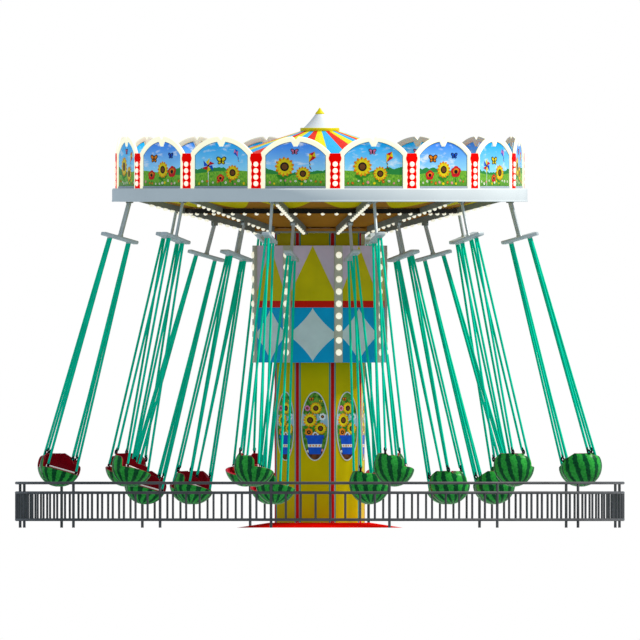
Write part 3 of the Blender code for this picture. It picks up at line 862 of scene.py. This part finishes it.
# six triangles (0, r(cos a, sin a), 0.62 r(cos b, sin b)) at steps of 60 degrees, on a stick
def pinwheel(x, z, size, foot, sailInks):
    patches = [("whiteInk", ribbonPatch(x, z, z - foot, size * 0.09, 0.0), 0)]
    for k in range(6):
        a, b = k * math.pi / 3 + 0.3, (k + 0.8) * math.pi / 3 + 0.3
        patches.append((sailInks[k % len(sailInks)], cornerPatch(
            (x, z), (x + size * math.cos(a), z + size * math.sin(a)),
            (x + size * 0.62 * math.cos(b), z + size * 0.62 * math.sin(b))), 2))
    return patches + [("darkInk", roundPatch(x, z, size * 0.14, count=10), 4)]


# All patches become thin closed plates: a ring of points, its copy behind, and a fan on each side.
def inkPlates(patches, step=0.0012):
    skins = []
    for ink, outline, layer in patches:
        count = len(outline)
        outline = np.asarray(outline)
        lift = 0.0022 + step * layer
        front = np.concatenate([outline, np.full((count, 1), lift)], -1)
        back = front * (1, 1, 0)
        points = np.concatenate([front, back, front.mean(0, keepdims=True), back.mean(0, keepdims=True)])
        ring = np.arange(count)
        after = np.roll(ring, -1)
        faces = np.concatenate([fan(ring, 2 * count), fan(ring + count, 2 * count + 1, True),
                                table(ring, ring + count, after + count, after)])
        skins.append(skin(points, faces, inkNames.index(ink)))
    return joined(skins)


# Three kinds of layout, varied by a fixed seed; every patch stays inside the arch.
def boardPatches(number, rng, foot):
    patches = []
    kind = number % 3
    lean = rng.uniform(-0.06, 0.06)
    if kind == 0:
        patches += sunflower(-0.20 + lean, 7.22, 0.20, foot) + sunflower(0.17 + lean, 7.08, 0.15, foot)
        patches += kite(0.33, 7.42, 0.13, -0.5, "redInk", "sunInk") + butterfly(-0.02, 7.52, 0.08, "pinkInk")
    elif kind == 1:
        patches += poppy(-0.34, 7.05, 0.11, foot) + sunflower(0.02 + lean, 7.16, 0.17, foot)
        patches += poppy(0.32, 7.12, 0.13, foot) + butterfly(-0.26, 7.38, 0.11, "orangeInk")
        patches += butterfly(0.28, 7.44, 0.08, "blueInk")
    else:
        patches += pinwheel(-0.30, 7.24, 0.15, foot, ("redInk", "sunInk", "blueInk"))
        patches += sunflower(0.26 + lean, 7.10, 0.16, foot) + butterfly(0.0, 7.34, 0.11, "sunInk")
        patches += poppy(-0.02, 6.99, 0.09, foot) + kite(0.34, 7.50, 0.09, 0.4, "pinkInk", "blueInk")
    for x in np.linspace(-0.52, 0.52, 11):
        ink = ("whiteInk", "pinkInk", "sunInk", "whiteInk", "redInk")[rng.integers(5)]
        level, size = 6.875 + rng.uniform(0, 0.07), rng.uniform(0.022, 0.034)
        patches += daisy(x + rng.uniform(-0.02, 0.02), level, size, ink)
    return patches


# Picture sheets follow the arch: x = half u, z = foot + v (arch(x) - foot); a slab each, printed both sides
def boardPictures(p):
    half, arc = p.innerHalf + 0.014, p.innerArc + 0.012
    u, v = np.meshgrid(np.linspace(-1, 1, 25), np.linspace(0, 1, 9))
    x = half * np.sin(u * np.pi / 2) * 0.35 + half * u * 0.65
    crest = p.archCentre + np.sqrt(arc ** 2 - x ** 2)
    z = p.pictureFoot + v * (crest - p.pictureFoot)
    frames, boardMiddles = ringFrames(boardBearings), ringSpot(p.boardDistance, boardBearings, 0.0)
    sheets = []
    for k in range(p.boards):
        flat = table(x, z, np.full_like(x, 0.009))
        place = table(x, z, np.full_like(x, float(k)))
        sheet = slab(flat, np.array([0, 0, -0.018]), place=place)
        sheets.append(stamped(sheet, boardMiddles[k], frames[k:k + 1]))
    makePiece("board_pictures", sheets, [meadowFinish("meadowPrintWithPaintedLight", p)], "rotor")
    rng = np.random.default_rng(12)
    flip = np.array([-1, 1, -1])[:, None]
    outside, inside = [], []
    for k in range(p.boards):
        plates = inkPlates(boardPatches(k, rng, p.stalkFoot))
        plates["points"] = plates["points"] + (0, 0, 0.0088)
        outside.append(stamped(plates, boardMiddles[k], frames[k:k + 1]))
        inside.append(stamped(plates, boardMiddles[k], frames[k:k + 1] * flip))
    makePiece("board_motifs_outside", outside, inksPaintedGlow, "rotor")
    makePiece("board_motifs_inside", inside, inksPaintedGlow, "rotor")


boardPictures(crownPlan)
print("board pictures painted")

ovalPlan = Plan({"halfWidth": 0.265, "halfHeight": 0.68, "middle": 2.03, "plate": 0.006, "moulding": 0.012,
                 "skyMiddle": 0.12, "skyHalf": 0.26, "earthTop": -0.42})


# Upright garden picture for the ovals: pale sky in the middle, leafy green round it, brown earth at the foot
def gardenFinish(name, p):
    f = Finish(name)
    place = f.spot("partPlace")
    z = f.split(place)[1]
    leaves = f.cloud(f.stretch(place, 7.0, 7.0, 3.0), 1.6, 4.0)
    green = f.mix(f.ramp(leaves, 0.38, 0.62), (0.03, 0.17, 0.01), (0.24, 0.50, 0.05))
    level = abs(z - p.skyMiddle)
    clear = level + leaves * 0.3 < p.skyHalf
    colour = f.mix(clear, green, (0.42, 0.66, 0.72))
    earth = f.mix(f.ramp(leaves, 0.4, 0.6), (0.10, 0.025, 0.008), (0.22, 0.07, 0.02))
    ground = z + leaves * 0.06 < p.earthTop
    colour = f.mix(ground, colour, earth)
    return f.coat(colour, source="partPlace", mottle=0.06, patch=6.0, gloss=(0.26, 0.4))


# a flower with a dark heart, for the places between the sunflowers
def darkHeart(x, z, size, ink):
    return bloom(x, z, size, 2, (ink, 1.0, 0.9, x * 9, 7, 0.30, 35),
                 ("darkInk", 0.42, 1.0, 0.0, 0, 0.0, 14), ("orangeInk", 0.16, 1.0, 0.0, 0, 0.0, 8))


# sunflowers and daisies in a blue pot with a cream band, over leaves
def ovalPatches():
    top, foot, band = -0.20, -0.56, -0.36
    patches = []
    for k in range(9):
        turn = math.radians(20 + 17.5 * k)
        reach = 0.20 + 0.05 * (k % 2)
        x, z = reach * 0.8 * math.cos(turn), top + reach * math.sin(turn)
        leaf = roundPatch(x, z, 0.085, 0.36, turn, count=14)
        patches.append(("leafInk", leaf, 0))
    for x, z, size in ((0.02, 0.36, 0.125), (-0.095, 0.12, 0.145), (0.115, -0.045, 0.125)):
        patches += sunflower(x, z, size, top)
    patches += darkHeart(0.155, 0.19, 0.078, "whiteInk") + darkHeart(-0.12, -0.12, 0.095, "orangeInk")
    patches += darkHeart(-0.15, 0.36, 0.062, "pinkInk") + darkHeart(0.01, -0.17, 0.070, "whiteInk")
    patches += [("blueInk", cornerPatch((-0.165, top), (0.165, top), (0.115, foot), (-0.115, foot)), 6),
                ("blueInk", cornerPatch((-0.185, top + 0.02), (0.185, top + 0.02), (0.185, top - 0.04),
                                        (-0.185, top - 0.04)), 7),
                ("whiteInk", cornerPatch((-0.143, band), (0.143, band), (0.134, band - 0.06),
                                         (-0.134, band - 0.06)), 8)]
    for x in (-0.09, -0.03, 0.03, 0.09):
        patches.append(("orangeInk", roundPatch(x, band - 0.03, 0.018, count=10), 9))
    patches += butterfly(-0.07, 0.54, 0.055, "orangeInk") + butterfly(0.12, 0.50, 0.045, "sunInk")
    return patches + daisy(-0.14, -0.50, 0.030) + daisy(0.15, -0.48, 0.030, "pinkInk")


# Oval plates on the column's faces: (a v cos t, b v sin t), with a raised moulding round the edge.
def columnOvals(p):
    a, b = p.halfWidth, p.halfHeight
    bearings = evenly(octagon.corner + 22.5, 8)
    distance = octagon.columnRadius * math.cos(math.radians(22.5))
    middles, frames = ringSpot(distance, bearings, p.middle), ringFrames(bearings)
    t = circle(64)
    v = np.array([1.0, 1.0, 0.66, 0.33])
    depth = np.array([0.0, p.plate, p.plate, p.plate])
    level = np.repeat(depth[:, None], len(t), 1)
    rings = table(a * v[:, None] * np.cos(t), b * v[:, None] * np.sin(t), level)
    plates = []
    for k in range(8):
        plate = loft(rings)
        plate["place"] = plate["points"] * (1, 1, 0) + (0, 0, 3.0 * k)
        plates.append(stamped(plate, middles[k], frames[k:k + 1]))
    makePiece("column_ovals", plates, [gardenFinish("gardenPrint", p)], "base")
    motif = inkPlates(ovalPatches(), 0.0008)
    motif["points"] = motif["points"] + (0, 0, p.plate - 0.0012)
    makePiece("oval_motifs", [stamped(motif, middles, frames)], inksPaintedGlow, "base")
    edge = table((a + 0.002) * np.cos(t), (b + 0.002) * np.sin(t), np.full(64, p.plate))
    moulding = tube(edge, p.moulding, 8, closed=True)
    border = plainCoat("ovalBorder", (0.82, 0.84, 0.82), mottle=0.05, gloss=(0.25, 0.38))
    makePiece("oval_mouldings", [stamped(moulding, middles, frames)], [border], "base")


columnOvals(ovalPlan)
print("column ovals painted")


# Roof and cap

roofPlan = Plan({"footRadius": 3.82, "foot": 6.7863, "topRadius": 0.385, "top": 7.93, "stripes": 30,
                 "firstEdge": -6.4, "thickness": 0.026, "crowning": 0.010,
                 "colours": {"roofYellow": (0.98, 0.86, 0.0), "roofBlue": (0.03, 0.52, 0.98),
                             "roofRed": (0.95, 0.02, 0.0)}})


# A cone in gores: z falls evenly with r, and each gore swells by h sin(pi u) across its width u.
def stripedRoof(p):
    across, down = 6, 20
    u = np.arange(p.stripes * across)
    bearings = p.firstEdge + 360.0 / p.stripes * u / across
    swell = np.sin(np.pi * (u % across) / across)
    v = np.linspace(0, 1, down)[:, None]
    radius = p.topRadius + (p.footRadius - p.topRadius) * v
    height = p.top + (p.foot + 0.002 - p.top) * v + p.crowning * swell * np.sin(np.pi * v) ** 0.5
    over = ringSpot(radius, bearings, height)
    under = over - (0, 0, p.thickness)
    under[-1] = over[-1] * (1, 1, 0) + (0, 0, p.foot)
    rings = np.concatenate([over, under[::-1]])
    columns, rows = len(u), len(rings)
    stripe = (np.arange(columns) // across) % 3
    faces = gridFaces(rows, columns, True, True)
    finish = np.tile(stripe, rows)
    materials = []
    for name, colour in p.colours.items():
        f = Finish(name)
        where = f.spot()
        weave = f.node("TexWave", {"Vector": where, "Scale": 60.0, "Distortion": 0.0}, bands_direction="Z")
        f.coat(rgb(*colour), mottle=0.10, patch=1.4, gloss=(0.38, 0.55), depth=0.0016)
        f.feed(f.shader, {"Sheen Weight": 0.05})
        bump = f.node("Bump", {"Strength": 0.12, "Distance": 0.001, "Height": weave,
                               "Normal": f.shader.inputs["Normal"].links[0].from_socket})
        f.feed(f.shader, {"Normal": bump})
        materials.append(f.material)
    makePiece("striped_roof", [skin(rings, faces, finish)], materials, "rotor", ["roof_canopy"],
              sharp=50)


capPlan = Plan({"brim": 0.392, "foot": 7.9283, "brimTop": 7.998, "cone": 0.325, "tipFoot": 8.278,
                "tipRadius": 0.084, "top": 8.40})


# Cap: a rounded yellow brim, a white cone that hollows by h sin(pi v) on its way up, and a pointed yellow
# tip; each part is a turned profile (r, z) and sinks 4 mm into the one below.
def roofCap(p):
    wide, low, high = p.brim, p.foot, p.brimTop
    brim = turned([(0, low), (wide - 0.012, low), (wide, low + 0.014), (wide, high - 0.014),
                   (wide - 0.012, high), (0, high + 0.001)], 64)
    v = np.linspace(0, 1, 12)
    radius = p.cone + (p.tipRadius - p.cone) * v - 0.012 * np.sin(np.pi * v)
    cone = table(radius, p.brimTop - 0.004 + (p.tipFoot + 0.004 - p.brimTop) * v)
    white = turned(np.concatenate([[[0, p.brimTop - 0.004]], cone, [[0, p.tipFoot]]]), 64, 1)
    foot, reach = p.tipFoot, p.tipRadius
    tip = turned([(0, foot - 0.004), (reach + 0.006, foot - 0.004), (reach + 0.006, foot + 0.008),
                  (reach * 0.5, foot + 0.068), (reach * 0.16, p.top - 0.008), (0, p.top)], 48)
    yellow = plainCoat("capYellow", (0.93, 0.78, 0.006), mottle=0.08, gloss=(0.28, 0.4))
    pale = plainCoat("capWhite", (0.95, 0.96, 0.96), mottle=0.06, gloss=(0.28, 0.4))
    makePiece("roof_crown_cap", [brim, white, tip], [yellow, pale], "rotor", ["roof_cap"])


stripedRoof(roofPlan)
roofCap(capPlan)
print("roof built")


# Hanging chairs

# each ring's pin radius, pin height and stem length
chairPlan = Plan({"lean": 15.36, "outer": (3.94, 6.53, 0.766), "inner": (2.18, 6.077, 0.663),
                  "barToSeat": 4.73})


# A chair's frame: X leaves the axis and rises by the lean, Y faces along the travel, Z goes up the hanger.
def chairFrame(ring, number):
    pinRadius, pinHeight, stem = chairPlan[ring]
    bearing = headPlan.firstArm + 30.0 * (number - 1)
    a, lean = math.radians(bearing), math.radians(chairPlan.lean)
    out = np.array([math.sin(a), -math.cos(a), 0.0])
    x = out * math.cos(lean) + (0, 0, math.sin(lean))
    y = np.array([math.cos(a), math.sin(a), 0.0])
    z = -out * math.sin(lean) + (0, 0, math.cos(lean))
    pin = ringSpot(pinRadius, bearing, pinHeight)
    return pin, np.array([[x, y, z]]), stem


hangerLooks = Plan({
    "stemRadius": 0.031, "barLength": 0.73, "barDepth": 0.072, "barWidth": 0.158, "knuckle": (0.036, 0.045),
    "sleeveRadius": 0.024, "spread": 0.20, "strandGap": 0.027, "collarRadius": 0.0265,
    "backFoot": (0.262, -0.232, 0.262), "frontFoot": (0.30, 0.159, -0.03),
    "bowAt": (0.279, -0.247, 0.218), "bow": (0.024, 0.040), "bowRadius": 0.017,
    "linkShift": (0.010, 0.008, 0.058), "link": (0.020, 0.034), "linkRadius": 0.015,
    "clip": (0.026, 0.026), "clipDrop": 0.062})
steelGrey = partCoat("hangerSteel", (0.64, 0.68, 0.67), 0.14, 4.0, (0.3, 0.45), metal=0.25)
sleeveTeal = partCoat("sleeveTeal", (0.0, 0.74, 0.43), 0.16, 3.0, (0.45, 0.6), depth=0.0008, mirror=0.04)
shackleBlack = partCoat("shackleBlack", (0.009, 0.010, 0.011), 0.2, 20.0, (0.45, 0.6), metal=0.1)


# Stem and knuckle, a crossbar with softened ends, four sleeves, and black shackles and clips at their feet
def hangerSkins(stem, p):
    seat, width = -stem - chairPlan.barToSeat, p.stemRadius
    stemPart = turned([(0, 0.006), (0.026, 0.004), (width, -0.02), (width, -stem + 0.075),
                       (width + 0.008, -stem + 0.06), (width + 0.012, -stem + 0.034), (0, -stem + 0.034)], 20)
    knuckle = bevelRod(*p.knuckle, (0.006, 0.005), 20)
    knuckle["points"] = knuckle["points"][:, [0, 2, 1]]
    bar = softBox((p.barWidth, p.barDepth, p.barLength), power=7, rounding=0.018, around=24)
    bar["points"] = bar["points"][:, [2, 0, 1]] + (0, 0, -stem)
    skins = [stemPart, knuckle, bar]
    barFoot, t = -stem - p.barDepth / 2, circle(14)
    for side in (-1, 1):
        for gap, foot in ((-1, p.backFoot), (1, p.frontFoot)):
            top = np.array([side * p.spread, gap * p.strandGap, barFoot + 0.002])
            end = np.array([side * foot[0], foot[1], seat + foot[2]])
            s = np.linspace(0, 1, 12)[:, None]
            skins.append(tube(top + (end - top) * s, p.sleeveRadius, 12, 1, guide=(1.0, 0.0, 0.0)))
            collar = turned([(0, -0.022), (p.collarRadius, -0.022), (p.collarRadius, 0.003), (0, 0.003)], 12)
            collar["points"] = collar["points"] + top
            skins.append(collar)
        back = np.array(p.bowAt) * (side, 1, 1) + (0, 0, seat)
        bow = table(p.bow[0] * np.cos(t), 0.0, p.bow[1] * np.sin(t)) + back
        skins.append(tube(bow, p.bowRadius, 8, 2, closed=True, guide=(0.0, 1.0, 0.0)))
        link = table(0.0, p.link[0] * np.cos(t), p.link[1] * np.sin(t))
        link = link + back + np.array(p.linkShift) * (-side, 1, 1)
        skins.append(tube(link, p.linkRadius, 8, 2, closed=True, guide=(1.0, 0.0, 0.0)))
        clip = bevelRod(*p.clip, (0.002, 0.006), 14, 2)
        spot = (side * p.frontFoot[0], p.frontFoot[1], seat - p.clipDrop)
        clip["points"] = clip["points"][:, [2, 0, 1]] + spot
        skins.append(clip)
    return skins


seatLooks = Plan({"radius": 0.41, "wall": 0.05, "bench": -0.21, "lapRadius": 0.0145, "lapForward": 0.159,
                  "lapLevel": -0.062, "lapHalf": 0.335,
                  "rim": ((0, -.105), (75.5, -.10), (77.5, .03), (84, .09), (95, .115), (112, .132),
                          (121, .137), (129, .195), (142, .212), (160, .235), (180, .27))})


# Rind: twelve dark stripes, at multiples of 30 degrees round the bucket, with wavering edges, on paler green
def rindFinish(name):
    f = Finish(name)
    place = f.spot("partPlace")
    x, y = f.split(place)[:2]
    bearing = f.calc("ARCTAN2", x, y)
    waver = (f.cloud(place, 16.0, 3.0) - 0.5) * 0.22
    fine = (f.cloud(place, 55.0, 2.0) - 0.5) * 0.1
    turn = bearing + waver + fine
    ridge = f.calc("COSINE", turn * 12.0)
    dark = f.ramp(ridge, -0.05, 0.26)
    fleck = f.ramp(f.cloud(place, 24.0, 4.0), 0.35, 0.65)
    streak = f.ramp(f.cloud(place, 30.0, 3.0), 0.35, 0.65)
    pale = f.mix(fleck, (0.016, 0.34, 0.035), (0.05, 0.50, 0.065))
    deep = f.mix(streak, (0.0, 0.065, 0.016), (0.002, 0.12, 0.028))
    colour = f.mix(dark, pale, deep)
    return f.coat(colour, source="partPlace", mottle=0.08, patch=6.0, gloss=(0.22, 0.36), depth=0.0008)


seatFinishes = [rindFinish("melonRind"),
                partCoat("rindEdge", (0.34, 0.07, 0.06), 0.1, 20.0, (0.3, 0.4)),
                partCoat("melonFlesh", (0.46, 0.003, 0.015), 0.16, 9.0, (0.3, 0.45), depth=0.001),
                # painted glow: the lap bar gives off light of its own, so it stays bright where it sits in
                # shade
                partCoat("lapBarPaintedGlow", (0.98, 0.88, 0.82), 0.08, 12.0, (0.22, 0.35), selfLight=0.22)]


# Bucket: (R sin p sin a, R sin p cos a, -R cos p), with the polar angle p running from the foot to the rim's
# height z(a), over the cut edge, and down inside to a flat bench
def bucketSkins(p):
    keys = np.array(p.rim, float)
    half = np.unique(np.concatenate([np.arange(0, 181, 4.0), keys[:, 0], [74.0, 76.5, 126.0, 131.0]]))
    angles = np.concatenate([half, -half[-2:0:-1]])
    level = np.interp(np.abs(angles), keys[:, 0], keys[:, 1])
    t = np.radians(angles)
    outer, inner = p.radius, p.radius - p.wall
    rows, finishes = [], []
    for share in np.linspace(0.12, 1.0, 12):
        rows.append((np.full_like(t, outer), share * np.arccos(-(level - 0.006) / outer)))
        finishes.append(0)
    for radius, sink, finish in ((outer - 0.003, 0.0015, 1), (outer - 0.007, 0.0, 1), (inner + 0.006, 0.0, 2),
                                 (inner + 0.001, 0.003, 2)):
        rows.append((np.full_like(t, radius), np.arccos(-(level - sink) / radius)))
        finishes.append(finish)
    benchTurn = math.acos(-p.bench / inner)
    for share in np.linspace(0, 1, 7):
        top = np.arccos(-(level - 0.008) / inner)
        rows.append((np.full_like(t, inner), top + share * (benchTurn - top)))
        finishes.append(2)
    rings = np.stack([table(r * np.sin(q) * np.sin(t), r * np.sin(q) * np.cos(t), -r * np.cos(q))
                      for r, q in rows])
    bench = rings[-1]
    padRows = ((0.96, 0.004), (0.8, 0.008), (0.4, 0.010))
    pad = np.stack([bench * (k, k, 1) + (0, 0, lift) for k, lift in padRows])
    rings = np.concatenate([rings, pad])
    around = len(t)
    bucket = loft(rings)
    bucket["points"][-2] = (0, 0, -outer)
    rowFinish = np.array(finishes[1:] + [2, 2, 2])
    ends = [np.zeros(around, int), np.full(around, 2)]
    bucket["finish"] = np.concatenate([np.repeat(rowFinish, around), *ends])
    reach, forward, level = p.lapHalf, p.lapForward, p.lapLevel
    lap = tube([(-reach, forward, level), (-reach * 0.5, forward, level), (0, forward, level),
                (reach * 0.5, forward, level), (reach, forward, level)], p.lapRadius, 14, 3)
    skins = [bucket, lap]
    for side in (-1, 1):
        leg = np.array([(side * 0.318, forward, level), (side * 0.324, forward, level - 0.03),
                        (side * 0.330, forward, level - 0.066)])
        skins.append(tube(leg, p.lapRadius * 0.9, 10, 3, guide=(0.0, 1.0, 0.0)))
    for part in skins:
        part["place"] = part["points"].copy()
    return skins


seatSkins = bucketSkins(seatLooks)
for ring in ("outer", "inner"):
    hanger = hangerSkins(chairPlan[ring][2], hangerLooks)
    for part in hanger:
        part["place"] = part["points"].copy()
    for number in range(1, 13):
        pin, axes, stem = chairFrame(ring, number)
        label = "%s_%02d" % (ring, number)
        bucketAt = pin - axes[0, 2] * (stem + chairPlan.barToSeat)
        makePiece("chair_hanger_" + label, [stamped(part, pin, axes) for part in hanger],
                  [steelGrey, sleeveTeal, shackleBlack], "chair_" + label, ["hanger_" + label])
        makePiece("melon_seat_" + label, [stamped(part, bucketAt, axes) for part in seatSkins], seatFinishes,
                  "chair_" + label, ["seat_" + label], sharp=40)
print("24 chairs hung")


# Light, floor and camera

stage = Plan({"sunBearing": 90.0, "sunRise": 47.0, "sunPower": 3.0, "sunSpread": 3.0,
              "skyFill": (0.40, 0.48, 0.56), "floorHalf": 60.0, "cameraX": 0.004, "cameraHeight": 4.154,
              "cameraReach": 30.0, "span": 12.8})


# White sky seen by the camera alone, an even fill, one sun from the right, and a level view without vanishing
def lightAndCamera(p):
    scene = bpy.context.scene
    scene.view_settings.view_transform = "Standard"
    world = bpy.data.worlds.new("studio")
    scene.world = world
    world.use_nodes = True
    nodes, links = world.node_tree.nodes, world.node_tree.links
    nodes.clear()
    seen, fill = nodes.new("ShaderNodeBackground"), nodes.new("ShaderNodeBackground")
    seen.inputs[0].default_value = rgb(1, 1, 1)
    fill.inputs[0].default_value = rgb(*p.skyFill)
    choose, path = nodes.new("ShaderNodeMixShader"), nodes.new("ShaderNodeLightPath")
    links.new(path.outputs["Is Camera Ray"], choose.inputs[0])
    links.new(fill.outputs[0], choose.inputs[1])
    links.new(seen.outputs[0], choose.inputs[2])
    links.new(choose.outputs[0], nodes.new("ShaderNodeOutputWorld").inputs[0])

    sun = bpy.data.lights.new("studioSun", "SUN")
    sun.energy, sun.angle, sun.color = p.sunPower, math.radians(p.sunSpread), (1.0, 0.98, 0.94)
    linked("studioSun", sun).rotation_euler = (math.radians(90 - p.sunRise), 0, math.radians(p.sunBearing))

    size = p.floorHalf
    mesh = bpy.data.meshes.new("studioFloor")
    corners = [(-size, -size, 0), (size, -size, 0), (size, size, 0), (-size, size, 0)]
    mesh.from_pydata(corners, [], [(0, 1, 2, 3)])
    floor = linked("studioFloor", mesh)
    floor.visible_diffuse = False  # the fill light stays even from all sides
    pale = plainCoat("floorPale", (0.80, 0.80, 0.79), mottle=0.03, patch=0.4, gloss=(0.6, 0.8))
    mesh.materials.append(pale)

    camera = bpy.data.cameras.new("photoView")
    camera.type, camera.ortho_scale = "ORTHO", p.span
    camera.clip_end = 200
    view = linked("photoView", camera)
    view.location = (p.cameraX, -p.cameraReach, p.cameraHeight)
    view.rotation_euler = (math.radians(90), 0, 0)
    scene.camera = view


lightAndCamera(stage)
